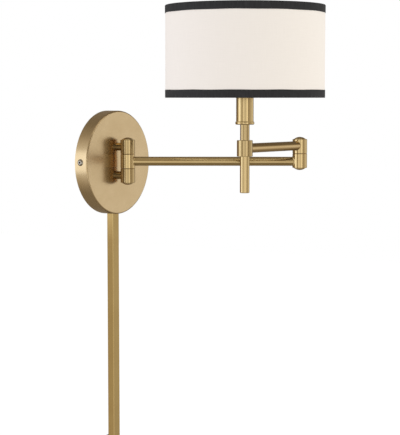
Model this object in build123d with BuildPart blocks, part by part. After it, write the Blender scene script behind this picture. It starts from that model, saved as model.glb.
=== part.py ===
"""Swing arm wall sconce with a drum shade, in millimetres.

The origin is the middle of the backplate on the wall. +Z is up, the wall lies in the XZ plane and
the lamp stands out of it towards -Y. The arms are drawn half folded: arm 1 leaves the wall hinge,
arm 2 comes back from the elbow above it, and the lamp stem stands in the collar at its end.
"""

import math
import os

from build123d import *

# ------------------------------------------------------------------ fits and clearances
fixed_fit = 0.02            # radial clearance of pieces that are pressed, screwed or soldered
running_fit = 0.05          # radial clearance of a pivot in its bore
loose_fit = 0.2             # radial clearance of washers, nuts and tubes slipped over a thread
bond_gap = 0.05             # glue line between the shade's layers
washer_play = 0.02          # free play on each face of a thrust washer

# ------------------------------------------------------------------ backplate and bracket
plate_diameter = 140.0
plate_depth = 20.0
plate_wall = 1.5
plate_edge = 2.0            # rounding of the front edge
rim_cut = 10.0              # depth of the cuts through the rim

bracket_width = 20.0
bracket_thickness = 2.0
bracket_tab_depth = 13.0    # how far the bent ends reach from the wall
bracket_side_gap = 1.2      # between a bent end and the inside of the rim
bracket_bend = 2.5          # outer radius of the bends
box_screw_spacing = 88.9    # hole spacing of a wall box
box_slot_length = 22.0
box_slot_width = 4.6
bracket_pipe_hole = 10.4

side_screw_depth = 9.1      # distance of the side screws from the wall
side_screw_rise = 2.0       # side screws above the middle of the plate
side_screw_head = 8.8
side_screw_head_edge = 0.4  # height of the head's upright edge
side_screw_head_height = 2.1
side_screw_head_flat = 4.8  # flat face on top of the domed head
side_screw_head_swell = 0.3 # arc of the dome above its chord
side_screw_shank = 4.0
side_screw_length = 8.0     # under the head
side_screw_hex = 2.5
side_screw_hex_depth = 1.3
side_screw_seat = 0.4       # depth of the flat seats in the rim

# ------------------------------------------------------------------ hinge knuckles
hinge_reach = 35.0          # wall hinge axis in front of the wall
hinge_rise = 2.0            # wall hinge middle above the middle of the plate
knuckle_diameter = 19.6
knuckle_height = 19.1
knuckle_chamfer = 0.4
joint_gap = 0.3             # between two knuckles
chamber_diameter = 14.0     # hollow inside an end knuckle
web_thickness = 4.0         # floor of that hollow, next to the joint
elbow_arm_shift = 0.9       # arm axis beyond the middle of an elbow knuckle, away from the joint

pivot_diameter = 9.0
pivot_bore = 5.6
pivot_head_diameter = 12.5
pivot_head_height = 2.0
pivot_grip = 5.5            # length screwed into the wall hinge's middle knuckle
spring_washer_thickness = 1.0
thrust_washer_diameter = 15.0
lock_nut_flats = 11.8
lock_nut_height = 3.0
thread_runout = 0.5         # thread standing past a nut

cap_diameter = 15.2
cap_height = 3.1
cap_lip = 0.5               # upright edge below the dome
cap_spigot = 3.0

# ------------------------------------------------------------------ posts between plate and hinge
post_diameter = 10.8
post_thread = 8.0
post_bore = 5.6
post_nut_flats = 13.0
post_nut_height = 3.5
post_washer_diameter = 15.0
post_washer_thickness = 1.0

# ------------------------------------------------------------------ arms
arm_diameter = 12.2
arm_wall = 1.1
arm_seat_radius = 7.4       # tube ends stop this far from a knuckle's axis
arm_1_length = 232.0        # wall hinge axis to elbow axis
arm_2_length = 130.0        # elbow axis to stem axis
arm_1_yaw = -56.8           # directions in plan, in degrees from +X
arm_2_yaw = 177.5
wire_hole = 6.0

# ------------------------------------------------------------------ lamp stem
collar_diameter = 20.2
collar_height = 20.6
pipe_diameter = 9.7
pipe_bore = 7.0
pipe_tail = 8.0             # length of pipe below the collar
stem_diameter = 12.0
stem_length = 19.9
tail_diameter = 12.3
tail_length = 46.7
tail_edge = 1.0
tail_floor = 2.0

candle_ring_diameter = 24.2
candle_ring_height = 4.2
candle_ring_edge = 1.4
candle_boss_height = 1.5
sleeve_diameter = 22.2
sleeve_wall = 0.9
sleeve_length = 33.6
pipe_nut_flats = 14.0
pipe_nut_height = 3.0

# ------------------------------------------------------------------ socket and bulb
socket_lift = 5.6           # socket body above the candle ring
socket_lower_diameter = 20.0
socket_skirt_diameter = 26.0
socket_skirt_height = 19.0
socket_flange_diameter = 30.0
socket_flange_height = 3.0
socket_bore = 13.6
socket_floor = 14.0         # height of the solid foot of the socket body
socket_thread_depth = 6.0   # how deep the pipe stands in the socket's foot
socket_wire_hole = 4.0
shell_wall = 0.5
shell_clearance = 6.0       # from the socket's floor up to the shell
shell_length = 24.0
contact_diameter = 5.0
contact_height = 4.0
contact_rivet = 2.4

ring_nut_diameter = 34.0
ring_nut_height = 5.0

bulb_base_diameter = 11.8
bulb_base_length = 24.0
bulb_base_wall = 0.6
bulb_tip_diameter = 5.0
bulb_tip_height = 4.0
bulb_tip_gap = 0.3
bulb_neck_diameter = 11.4
bulb_neck_length = 5.0
bulb_glass_diameter = 35.0
bulb_glass_length = 76.0
bulb_glass_wall = 0.8
bulb_glass_belly = 0.42     # height of the widest place, as a share of the glass
bulb_glass_tip = 3.0        # radius of the tip
bulb_glass_slope = 0.6      # how fast the glass draws in at the tip

# ------------------------------------------------------------------ shade
shade_diameter = 203.2
shade_height = 116.5
shade_base_rise = 64.3      # bottom of the shade above the axis of arm 2
shade_wall = 1.0
trim_width = 10.0
trim_thickness = 0.4
trim_inner_width = 4.0
shade_wire = 3.0
hub_diameter = 39.0
hub_thickness = 1.6
hub_fit = 0.2
weld_gap = 0.1              # between a wire arm's end and the rim or ring that it is welded to
shade_arm_count = 3
shade_arm_yaw = 30.0        # direction of the first wire arm

# ------------------------------------------------------------------ wiring held inside
cable_diameter = 3.6
cable_bend = 4.5
stem_cable_bend = 4.0
cable_plate_depth = 7.0     # distance of the cable's run behind the plate from the wall
cable_rise = 16.0           # length of that run above the upper post
lead_diameter = 1.6
lead_length = 10.0
lead_end = 2.5              # upright run at each end of a lead
lead_bend = 5.0
lead_pitch = 1.8            # between the two leads where they leave the cable
connector_pitch = 10.5
connector_mouth = 9.0
connector_tip = 5.5
connector_length = 19.0

# ------------------------------------------------------------------ cord cover
cover_width = 13.2
cover_depth = 10.0
cover_wall = 1.0
cover_edge = 0.6
cover_stand_off = 4.5       # back of the cover in front of the wall
cover_length = 320.0
cover_entry = 3.5           # how far its top end reaches past the outside of the rim
clip_height = 8.0
clip_thickness = 1.2
clip_end_gap = 1.5          # from the clip to the cover's lower end
clip_reach = 12.5
clip_hole = 4.2
bushing_flange = 2.0
bushing_spigot = 6.0
cord_hole = 7.0

# ------------------------------------------------------------------ places worked out from the sizes
up = Vector(0, 0, 1)
outward = Vector(0, -1, 0)


def plan_direction(yaw):
    """Unit vector in plan at an angle from +X."""
    return Vector(math.cos(math.radians(yaw)), math.sin(math.radians(yaw)), 0)


plate_radius = plate_diameter / 2
plate_inner_radius = plate_radius - plate_wall
knuckle_radius = knuckle_diameter / 2
knuckle_pitch = knuckle_height + joint_gap

arm_1_direction = plan_direction(arm_1_yaw)
arm_2_direction = plan_direction(arm_2_yaw)

hinge_centre = outward * hinge_reach + up * hinge_rise
upper_post_centre = hinge_centre + up * knuckle_pitch
lower_post_centre = hinge_centre - up * knuckle_pitch

elbow_on_arm_1 = hinge_centre + arm_1_direction * arm_1_length
elbow_lower_centre = elbow_on_arm_1 + up * elbow_arm_shift
elbow_joint = elbow_lower_centre + up * knuckle_pitch / 2
elbow_upper_centre = elbow_lower_centre + up * knuckle_pitch
elbow_on_arm_2 = elbow_upper_centre + up * elbow_arm_shift

stem_centre = elbow_on_arm_2 + arm_2_direction * arm_2_length
collar_top = stem_centre + up * collar_height / 2
collar_bottom = stem_centre - up * collar_height / 2
candle_ring_base = collar_top + up * stem_length
sleeve_base = candle_ring_base + up * candle_ring_height
sleeve_top = sleeve_base + up * sleeve_length
socket_base = sleeve_base + up * socket_lift
socket_floor_top = socket_base + up * socket_floor
pipe_top = socket_base + up * socket_thread_depth
hub_base = sleeve_top + up * socket_flange_height
contact_top = socket_floor_top + up * contact_height
bulb_base_bottom = contact_top + up * (bulb_tip_gap + bulb_tip_height)
glass_base = bulb_base_bottom + up * bulb_base_length
shade_base = stem_centre + up * shade_base_rise
shade_top = shade_base + up * shade_height

drum_radius = shade_diameter / 2 - trim_thickness - bond_gap
drum_inner_radius = drum_radius - shade_wall
wire_ring_radius = drum_inner_radius - bond_gap - shade_wire / 2
wire_ring_inset = trim_thickness + bond_gap + shade_wire / 2

cover_middle = cover_stand_off + cover_depth / 2
cover_top = -plate_radius + cover_entry
cover_bottom = cover_top - cover_length

os.makedirs("parts", exist_ok=True)


# ------------------------------------------------------------------ helpers
def turning_plane(point, along):
    """Plane through an axis: its x is the radius and its y runs along the axis."""
    radial = up if along.Z == 0 else Vector(1, 0, 0)
    return Plane(origin=point, x_dir=radial, z_dir=radial.cross(along))


def turned(point, along, corners):
    """Piece turned about an axis from the (radius, height) corners of its section."""
    with BuildPart() as piece:
        with BuildSketch(turning_plane(point, along)):
            with BuildLine():
                Polyline(*corners, close=True)
            make_face()
        revolve(axis=Axis(point, along))
    return piece


def ring_section(inner_radius, outer_radius, low, high):
    """Corners of a plain ring's section."""
    return [(inner_radius, low), (outer_radius, low), (outer_radius, high), (inner_radius, high)]


def keep(piece, name):
    """Label a finished piece and write it."""
    piece.part.label = name
    export_step(piece.part, f"parts/{name}.step")


def keep_group(pieces, name):
    """Write loose identical pieces as one group of separate solids."""
    with BuildPart() as group:
        for piece in pieces:
            add(piece.part)
    keep(group, name)


def hex_nut(point, along, flats, height, bore_radius):
    """Hexagon nut standing on a point."""
    with BuildPart() as nut:
        with BuildSketch(Plane(origin=point, z_dir=along)):
            RegularPolygon(radius=flats / 2, side_count=6, major_radius=False)
            Circle(bore_radius, mode=Mode.SUBTRACT)
        extrude(amount=height)
    return nut


def cable(points, diameter, bend):
    """Round cable along straight runs joined by tangent arcs."""
    with BuildPart() as lead:
        with BuildLine() as route:
            FilletPolyline(*points, radius=bend)
        with BuildSketch(Plane(origin=route.line @ 0, z_dir=route.line % 0)):
            Circle(diameter / 2)
        sweep(path=route.line)
    return lead


# ------------------------------------------------------------------ backplate
with BuildPart() as backplate:
    with BuildSketch(Plane(origin=(0, 0, 0), z_dir=outward)):
        Circle(plate_radius)
    extrude(amount=plate_depth)
    front_face = backplate.faces().sort_by(Axis.Y)[0]
    fillet(front_face.edges(), plate_edge)
    offset(amount=-plate_wall, openings=backplate.faces().sort_by(Axis.Y)[-1])
    # holes for the threaded ends of the two posts
    for post_centre in (upper_post_centre, lower_post_centre):
        with BuildSketch(Plane(origin=(post_centre.X, 0, post_centre.Z), z_dir=outward)):
            Circle(post_thread / 2 + fixed_fit)
        extrude(amount=plate_depth, mode=Mode.SUBTRACT)
    # holes and flat seats for the two side screws
    for side in (-1, 1):
        start = (side * plate_radius, -side_screw_depth, side_screw_rise)
        with Locations(Plane(origin=start, z_dir=(side, 0, 0))):
            CounterBoreHole(
                radius=side_screw_shank / 2 + loose_fit,
                counter_bore_radius=side_screw_head / 2 + loose_fit,
                counter_bore_depth=side_screw_seat,
                depth=rim_cut,
            )
    # slot in the bottom of the rim for the cord cover
    with BuildSketch(Plane(origin=(0, -cover_middle, -plate_radius))):
        Rectangle(cover_width + 2 * loose_fit, cover_depth + 2 * loose_fit)
    extrude(amount=rim_cut, mode=Mode.SUBTRACT)
keep(backplate, "backplate")

# ------------------------------------------------------------------ mounting bracket
bracket_half_length = plate_inner_radius - bracket_side_gap

with BuildPart() as mounting_bracket:
    with BuildSketch(Plane.XY.offset(-bracket_width / 2)):
        with BuildLine():
            FilletPolyline(
                (-bracket_half_length, -bracket_tab_depth),
                (-bracket_half_length, 0),
                (bracket_half_length, 0),
                (bracket_half_length, -bracket_tab_depth),
                radius=bracket_bend,
            )
            FilletPolyline(
                (-bracket_half_length + bracket_thickness, -bracket_tab_depth),
                (-bracket_half_length + bracket_thickness, -bracket_thickness),
                (bracket_half_length - bracket_thickness, -bracket_thickness),
                (bracket_half_length - bracket_thickness, -bracket_tab_depth),
                radius=bracket_bend - bracket_thickness,
            )
            for side in (-1, 1):
                Line(
                    (side * bracket_half_length, -bracket_tab_depth),
                    (side * (bracket_half_length - bracket_thickness), -bracket_tab_depth),
                )
        make_face()
    extrude(amount=bracket_width)
    # two slots on the wall box's spacing and a middle hole
    with BuildSketch(Plane(origin=(0, 0, 0), x_dir=(1, 0, 0), z_dir=outward)):
        with GridLocations(box_screw_spacing, 0, 2, 1):
            SlotOverall(box_slot_length, box_slot_width)
        Circle(bracket_pipe_hole / 2)
    extrude(amount=bracket_thickness, mode=Mode.SUBTRACT)
    # tapped holes in the bent ends
    with BuildSketch(Plane(origin=(-plate_radius, -side_screw_depth, side_screw_rise), z_dir=(1, 0, 0))):
        Circle(side_screw_shank / 2 + fixed_fit)
    extrude(amount=plate_diameter, mode=Mode.SUBTRACT)
keep(mounting_bracket, "mounting_bracket")


# ------------------------------------------------------------------ side screws
def side_screw(side):
    """Button-head screw through the rim into a bent end of the bracket."""
    head_radius = side_screw_head / 2
    shank_radius = side_screw_shank / 2
    away = Vector(side, 0, 0)
    seat_distance = plate_radius - side_screw_seat + fixed_fit
    seat = away * seat_distance + outward * side_screw_depth + up * side_screw_rise
    with BuildPart() as screw:
        with BuildSketch(turning_plane(seat, away)):
            with BuildLine():
                Polyline(
                    (0, side_screw_head_height),
                    (0, -side_screw_length),
                    (shank_radius, -side_screw_length),
                    (shank_radius, 0),
                    (head_radius, 0),
                    (head_radius, side_screw_head_edge),
                )
                SagittaArc(
                    (side_screw_head_flat / 2, side_screw_head_height),
                    (head_radius, side_screw_head_edge),
                    side_screw_head_swell,
                )
                Line((side_screw_head_flat / 2, side_screw_head_height), (0, side_screw_head_height))
            make_face()
        revolve(axis=Axis(seat, away))
        with BuildSketch(Plane(origin=seat + away * side_screw_head_height, z_dir=-away)):
            RegularPolygon(radius=side_screw_hex / 2, side_count=6, major_radius=False)
        extrude(amount=side_screw_hex_depth, mode=Mode.SUBTRACT)
    return screw


keep_group([side_screw(side) for side in (-1, 1)], "side_screws")

# ------------------------------------------------------------------ posts, their washers and nuts
post_tip = arm_seat_radius                          # from the hinge axis, towards the wall
post_shoulder = hinge_reach - plate_depth
post_back = post_shoulder + plate_wall + post_washer_thickness + post_nut_height + thread_runout
wallward = -outward


def post(centre):
    """Hollow post: its head stands in the knuckle, its threaded end passes through the plate."""
    return turned(
        centre,
        wallward,
        [
            (post_bore / 2, post_tip),
            (post_diameter / 2, post_tip),
            (post_diameter / 2, post_shoulder),
            (post_thread / 2, post_shoulder),
            (post_thread / 2, post_back),
            (post_bore / 2, post_back),
        ],
    )


post_centres = (upper_post_centre, lower_post_centre)
washer_seat = wallward * (post_shoulder + plate_wall)
nut_seat = washer_seat + wallward * post_washer_thickness
post_clear = post_thread / 2 + loose_fit

keep_group([post(centre) for centre in post_centres], "hinge_posts")
keep_group(
    [
        turned(
            centre + washer_seat,
            wallward,
            ring_section(post_clear, post_washer_diameter / 2, 0, post_washer_thickness),
        )
        for centre in post_centres
    ],
    "post_washers",
)
keep_group(
    [
        hex_nut(centre + nut_seat, wallward, post_nut_flats, post_nut_height, post_thread / 2 + fixed_fit)
        for centre in post_centres
    ],
    "post_nuts",
)


# ------------------------------------------------------------------ knuckles
def end_knuckle(centre, open_end, hole_height, hole_direction, hole_diameter, web_fit):
    """Knuckle with a hollow behind its open end and a web with the pivot's bore at the joint.

    A side hole seats a tube, and a smaller one lets the cable through to the hollow.
    """
    joint_face = centre - open_end * knuckle_height / 2
    hole_centre = centre + up * hole_height
    seat_centre = hole_centre + hole_direction * arm_seat_radius
    with BuildPart() as knuckle:
        with BuildSketch(Plane(origin=joint_face, z_dir=open_end)):
            Circle(knuckle_radius)
        extrude(amount=knuckle_height)
        chamfer(knuckle.edges().filter_by(GeomType.CIRCLE), knuckle_chamfer)
        with BuildSketch(Plane(origin=joint_face + open_end * web_thickness, z_dir=open_end)):
            Circle(chamber_diameter / 2)
        extrude(amount=knuckle_height, mode=Mode.SUBTRACT)
        with BuildSketch(Plane(origin=joint_face, z_dir=open_end)):
            Circle(pivot_diameter / 2 + web_fit)
        extrude(amount=web_thickness, mode=Mode.SUBTRACT)
        with BuildSketch(Plane(origin=seat_centre, z_dir=hole_direction)):
            Circle(hole_diameter / 2 + fixed_fit)
        extrude(amount=knuckle_radius, mode=Mode.SUBTRACT)
        with BuildSketch(Plane(origin=hole_centre, z_dir=hole_direction)):
            Circle(wire_hole / 2)
        extrude(amount=knuckle_radius, mode=Mode.SUBTRACT)
    return knuckle


def dome_cap(centre, open_end):
    """Domed plug in the open end of a knuckle: a slice of a sphere above a short lip."""
    seat = centre + open_end * knuckle_height / 2
    dome_rise = cap_height - cap_lip
    sphere_radius = (cap_diameter**2 / 4 + dome_rise**2) / (2 * dome_rise)
    sphere_centre = cap_height - sphere_radius
    dome_point = (cap_diameter / 4, sphere_centre + math.sqrt(sphere_radius**2 - cap_diameter**2 / 16))
    with BuildPart() as cap:
        with BuildSketch(turning_plane(seat, open_end)):
            with BuildLine():
                Polyline(
                    (0, cap_height),
                    (0, -cap_spigot),
                    (chamber_diameter / 2 - fixed_fit, -cap_spigot),
                    (chamber_diameter / 2 - fixed_fit, 0),
                    (cap_diameter / 2, 0),
                    (cap_diameter / 2, cap_lip),
                )
                ThreePointArc((cap_diameter / 2, cap_lip), dome_point, (0, cap_height))
            make_face()
        revolve(axis=Axis(seat, open_end))
    return cap


def pivot(joint, head_end, tail_length):
    """Hollow pivot bolt: its head lies behind a web and its tail crosses the joint."""
    head_seat = joint_gap / 2 + web_thickness + spring_washer_thickness
    return turned(
        joint,
        head_end,
        [
            (pivot_bore / 2, -tail_length),
            (pivot_diameter / 2, -tail_length),
            (pivot_diameter / 2, head_seat),
            (pivot_head_diameter / 2, head_seat),
            (pivot_head_diameter / 2, head_seat + pivot_head_height),
            (pivot_bore / 2, head_seat + pivot_head_height),
        ],
    )


def spring_washer(joint, head_end):
    """Spring washer between a web and the pivot's head."""
    low = joint_gap / 2 + web_thickness
    section = ring_section(
        pivot_diameter / 2 + loose_fit, pivot_head_diameter / 2, low, low + spring_washer_thickness
    )
    return turned(joint, head_end, section)


def thrust_washer(joint):
    """Thin washer in the gap between two knuckles."""
    half = joint_gap / 2 - washer_play
    section = ring_section(pivot_diameter / 2 + loose_fit, thrust_washer_diameter / 2, -half, half)
    return turned(joint, up, section)


upper_joint = hinge_centre + up * knuckle_pitch / 2
lower_joint = hinge_centre - up * knuckle_pitch / 2

wall_knuckle_upper = end_knuckle(upper_post_centre, up, 0, wallward, post_diameter, running_fit)
keep(wall_knuckle_upper, "wall_knuckle_upper")
wall_knuckle_lower = end_knuckle(lower_post_centre, -up, 0, wallward, post_diameter, running_fit)
keep(wall_knuckle_lower, "wall_knuckle_lower")

arm_1_seat = hinge_centre + arm_1_direction * arm_seat_radius
with BuildPart() as wall_knuckle_middle:
    with BuildSketch(Plane(origin=hinge_centre - up * knuckle_height / 2)):
        Circle(knuckle_radius)
    extrude(amount=knuckle_height)
    chamfer(wall_knuckle_middle.edges().filter_by(GeomType.CIRCLE), knuckle_chamfer)
    with BuildSketch(Plane(origin=hinge_centre - up * knuckle_height / 2)):
        Circle(pivot_diameter / 2 + fixed_fit)
    extrude(amount=knuckle_height, mode=Mode.SUBTRACT)
    with BuildSketch(Plane(origin=arm_1_seat, z_dir=arm_1_direction)):
        Circle(arm_diameter / 2 + fixed_fit)
    extrude(amount=knuckle_radius, mode=Mode.SUBTRACT)
    with BuildSketch(Plane(origin=hinge_centre, z_dir=arm_1_direction)):
        Circle(wire_hole / 2)
    extrude(amount=knuckle_radius, mode=Mode.SUBTRACT)
keep(wall_knuckle_middle, "wall_knuckle_middle")

elbow_knuckle_lower = end_knuckle(
    elbow_lower_centre, -up, -elbow_arm_shift, -arm_1_direction, arm_diameter, fixed_fit
)
keep(elbow_knuckle_lower, "elbow_knuckle_lower")
elbow_knuckle_upper = end_knuckle(
    elbow_upper_centre, up, elbow_arm_shift, arm_2_direction, arm_diameter, running_fit
)
keep(elbow_knuckle_upper, "elbow_knuckle_upper")

keep(dome_cap(upper_post_centre, up), "wall_cap_upper")
keep(dome_cap(lower_post_centre, -up), "wall_cap_lower")
keep(dome_cap(elbow_lower_centre, -up), "elbow_cap_lower")
keep(dome_cap(elbow_upper_centre, up), "elbow_cap_upper")

keep_group(
    [
        pivot(upper_joint, up, joint_gap / 2 + pivot_grip),
        pivot(lower_joint, -up, joint_gap / 2 + pivot_grip),
    ],
    "wall_pivots",
)
keep_group([spring_washer(upper_joint, up), spring_washer(lower_joint, -up)], "wall_spring_washers")
keep_group([thrust_washer(upper_joint), thrust_washer(lower_joint)], "wall_thrust_washers")

elbow_tail = joint_gap / 2 + web_thickness + lock_nut_height + thread_runout
keep(pivot(elbow_joint, up, elbow_tail), "elbow_pivot")
keep(spring_washer(elbow_joint, up), "elbow_spring_washer")
keep(thrust_washer(elbow_joint), "elbow_thrust_washer")
lock_nut_seat = elbow_joint - up * (joint_gap / 2 + web_thickness)
pivot_thread = pivot_diameter / 2 + fixed_fit
keep(hex_nut(lock_nut_seat, -up, lock_nut_flats, lock_nut_height, pivot_thread), "elbow_lock_nut")


# ------------------------------------------------------------------ arm tubes
def arm_tube(start, along, length):
    """Round tube between the seats of two knuckles."""
    with BuildPart() as tube:
        with BuildSketch(Plane(origin=start + along * arm_seat_radius, z_dir=along)):
            Circle(arm_diameter / 2)
            Circle(arm_diameter / 2 - arm_wall, mode=Mode.SUBTRACT)
        extrude(amount=length - 2 * arm_seat_radius)
    return tube


keep(arm_tube(hinge_centre, arm_1_direction, arm_1_length), "arm_1_tube")
keep(arm_tube(elbow_on_arm_2, arm_2_direction, arm_2_length), "arm_2_tube")

# ------------------------------------------------------------------ collar and stem
to_elbow = -arm_2_direction

with BuildPart() as stem_collar:
    with BuildSketch(Plane(origin=collar_bottom)):
        Circle(collar_diameter / 2)
    extrude(amount=collar_height)
    chamfer(stem_collar.edges().filter_by(GeomType.CIRCLE), knuckle_chamfer)
    with BuildSketch(Plane(origin=collar_bottom)):
        Circle(pipe_diameter / 2 + fixed_fit)
    extrude(amount=collar_height, mode=Mode.SUBTRACT)
    with BuildSketch(Plane(origin=stem_centre + to_elbow * arm_seat_radius, z_dir=to_elbow)):
        Circle(arm_diameter / 2 + fixed_fit)
    extrude(amount=collar_diameter / 2, mode=Mode.SUBTRACT)
    with BuildSketch(Plane(origin=stem_centre, z_dir=to_elbow)):
        Circle(wire_hole / 2)
    extrude(amount=collar_diameter / 2, mode=Mode.SUBTRACT)
keep(stem_collar, "stem_collar")

pipe_base = collar_bottom - up * pipe_tail
with BuildPart() as lamp_pipe:
    with BuildSketch(Plane(origin=pipe_base)):
        Circle(pipe_diameter / 2)
        Circle(pipe_bore / 2, mode=Mode.SUBTRACT)
    extrude(amount=pipe_top.Z - pipe_base.Z)
    # window that lets the cable in from arm 2
    with BuildSketch(Plane(origin=stem_centre, z_dir=to_elbow)):
        Circle(wire_hole / 2)
    extrude(amount=pipe_diameter, mode=Mode.SUBTRACT)
keep(lamp_pipe, "lamp_pipe")

stem_section = ring_section(pipe_diameter / 2 + fixed_fit, stem_diameter / 2, 0, stem_length)
keep(turned(collar_top, up, stem_section), "stem_upper")

with BuildPart() as stem_tail:
    with BuildSketch(Plane(origin=collar_bottom)):
        Circle(tail_diameter / 2)
    extrude(amount=-tail_length)
    fillet(stem_tail.edges().filter_by(GeomType.CIRCLE).sort_by(Axis.Z)[0], tail_edge)
    with BuildSketch(Plane(origin=collar_bottom)):
        Circle(pipe_diameter / 2 + fixed_fit)
    extrude(amount=tail_floor - tail_length, mode=Mode.SUBTRACT)
keep(stem_tail, "stem_tail")

with BuildPart() as candle_ring:
    with BuildSketch(Plane(origin=candle_ring_base)):
        Circle(candle_ring_diameter / 2)
    extrude(amount=candle_ring_height)
    fillet(candle_ring.edges().filter_by(GeomType.CIRCLE), candle_ring_edge)
    with BuildSketch(Plane(origin=sleeve_base)):
        Circle(sleeve_diameter / 2 - sleeve_wall - fixed_fit)
    extrude(amount=candle_boss_height)
    with BuildSketch(Plane(origin=candle_ring_base)):
        Circle(pipe_diameter / 2 + fixed_fit)
    extrude(amount=candle_ring_height + candle_boss_height, mode=Mode.SUBTRACT)
keep(candle_ring, "candle_ring")

nut_base = sleeve_base + up * candle_boss_height
pipe_nut = hex_nut(nut_base, up, pipe_nut_flats, pipe_nut_height, pipe_diameter / 2 + fixed_fit)
keep(pipe_nut, "pipe_nut")

sleeve_radius = sleeve_diameter / 2
sleeve_section = ring_section(sleeve_radius - sleeve_wall, sleeve_radius, 0, sleeve_length)
keep(turned(sleeve_base, up, sleeve_section), "candle_sleeve")

# ------------------------------------------------------------------ socket
flange_low = sleeve_top.Z - socket_base.Z
flange_high = flange_low + socket_flange_height
skirt_high = flange_high + socket_skirt_height
socket_body = turned(
    socket_base,
    up,
    [
        (pipe_diameter / 2 + fixed_fit, 0),
        (socket_lower_diameter / 2, 0),
        (socket_lower_diameter / 2, flange_low),
        (socket_flange_diameter / 2, flange_low),
        (socket_flange_diameter / 2, flange_high),
        (socket_skirt_diameter / 2, flange_high),
        (socket_skirt_diameter / 2, skirt_high),
        (socket_bore / 2, skirt_high),
        (socket_bore / 2, socket_floor),
        (socket_wire_hole / 2, socket_floor),
        (socket_wire_hole / 2, socket_thread_depth),
        (pipe_diameter / 2 + fixed_fit, socket_thread_depth),
    ],
)
keep(socket_body, "socket_body")

shell_radius = socket_bore / 2 - fixed_fit
shell_section = ring_section(shell_radius - shell_wall, shell_radius, 0, shell_length)
keep(turned(socket_floor_top + up * shell_clearance, up, shell_section), "socket_shell")

# the contact is a springy button with its rivet in the floor's hole
keep(
    turned(
        socket_floor_top,
        up,
        [
            (0, -contact_rivet),
            (socket_wire_hole / 2 - fixed_fit, -contact_rivet),
            (socket_wire_hole / 2 - fixed_fit, 0),
            (contact_diameter / 2, 0),
            (contact_diameter / 2, contact_height / 2),
            (contact_diameter / 4, contact_height),
            (0, contact_height),
        ],
    ),
    "socket_contact",
)

with BuildPart() as shade_ring_nut:
    with BuildSketch(Plane(origin=hub_base + up * hub_thickness)):
        Circle(ring_nut_diameter / 2)
        Circle(socket_skirt_diameter / 2 + fixed_fit, mode=Mode.SUBTRACT)
    extrude(amount=ring_nut_height)
    chamfer(shade_ring_nut.edges().filter_by(GeomType.CIRCLE).sort_by(Axis.Z)[-1], knuckle_chamfer)
keep(shade_ring_nut, "shade_ring_nut")

# ------------------------------------------------------------------ bulb
keep(
    turned(
        bulb_base_bottom,
        up,
        [
            (0, -bulb_tip_height),
            (bulb_tip_diameter / 2, -bulb_tip_height),
            (bulb_tip_diameter / 2, -bulb_tip_height / 2),
            (bulb_base_diameter / 2, 0),
            (bulb_base_diameter / 2, bulb_base_length),
            (bulb_base_diameter / 2 - bulb_base_wall, bulb_base_length),
            (bulb_base_diameter / 2 - bulb_base_wall, bulb_base_wall),
            (0, bulb_base_wall),
        ],
    ),
    "bulb_base",
)


def glass_outline(inset):
    """Candle shaped outline from the neck to the tip, drawn inwards by the glass wall."""
    neck = bulb_neck_diameter / 2 - inset
    belly = bulb_glass_diameter / 2 - inset
    tip = bulb_glass_tip - inset
    height = bulb_glass_length - inset
    return [
        (neck, bulb_neck_length),
        (belly, bulb_glass_belly * bulb_glass_length),
        ((belly + tip) / 2, (bulb_glass_belly + 1) / 2 * bulb_glass_length),
        (tip, height),
    ]


glass_tangents = [(0, 1), (-bulb_glass_slope, 1)]

with BuildPart() as bulb_glass:
    with BuildSketch(turning_plane(glass_base, up)):
        with BuildLine():
            outer = Spline(*glass_outline(0), tangents=glass_tangents)
            inner = Spline(*glass_outline(bulb_glass_wall), tangents=glass_tangents)
            Line((bulb_neck_diameter / 2, 0), outer @ 0)
            Line((bulb_neck_diameter / 2 - bulb_glass_wall, 0), inner @ 0)
            Line((bulb_neck_diameter / 2, 0), (bulb_neck_diameter / 2 - bulb_glass_wall, 0))
            Line(outer @ 1, (0, bulb_glass_length))
            Line(inner @ 1, (0, bulb_glass_length - bulb_glass_wall))
            Line((0, bulb_glass_length), (0, bulb_glass_length - bulb_glass_wall))
        make_face()
    revolve(axis=Axis(glass_base, up))
keep(bulb_glass, "bulb_glass")

# ------------------------------------------------------------------ shade
lower_ring = shade_base + up * wire_ring_inset
upper_ring = shade_top - up * wire_ring_inset
hub_middle = hub_base + up * hub_thickness / 2


def shade_arm_ends(index):
    """Ends of a wire arm, from the hub's rim to the inside of the lower ring."""
    along = plan_direction(shade_arm_yaw + index * 360 / shade_arm_count)
    start = hub_middle + along * hub_diameter / 2
    finish = lower_ring + along * (wire_ring_radius - shade_wire / 2)
    slope = (finish - start).normalized()
    return start + slope * weld_gap, finish - slope * weld_gap


def shade_arm(index):
    """Straight wire arm of the shade."""
    arm_start, arm_end = shade_arm_ends(index)
    with BuildPart() as arm:
        with BuildSketch(Plane(origin=arm_start, z_dir=arm_end - arm_start)):
            Circle(shade_wire / 2)
        extrude(amount=(arm_end - arm_start).length)
    return arm


with BuildPart() as shade_hub:
    with BuildSketch(Plane(origin=hub_base)):
        Circle(hub_diameter / 2)
        Circle(socket_skirt_diameter / 2 + hub_fit, mode=Mode.SUBTRACT)
    extrude(amount=hub_thickness)
keep(shade_hub, "shade_hub")

keep_group([shade_arm(index) for index in range(shade_arm_count)], "shade_arms")

with BuildPart() as shade_ring_bottom:
    with Locations(lower_ring):
        Torus(wire_ring_radius, shade_wire / 2)
keep(shade_ring_bottom, "shade_ring_bottom")

with BuildPart() as shade_ring_top:
    with Locations(upper_ring):
        Torus(wire_ring_radius, shade_wire / 2)
keep(shade_ring_top, "shade_ring_top")

drum_low = trim_thickness + bond_gap
drum_section = ring_section(drum_inner_radius, drum_radius, drum_low, shade_height - drum_low)
keep(turned(shade_base, up, drum_section), "shade_drum")


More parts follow.
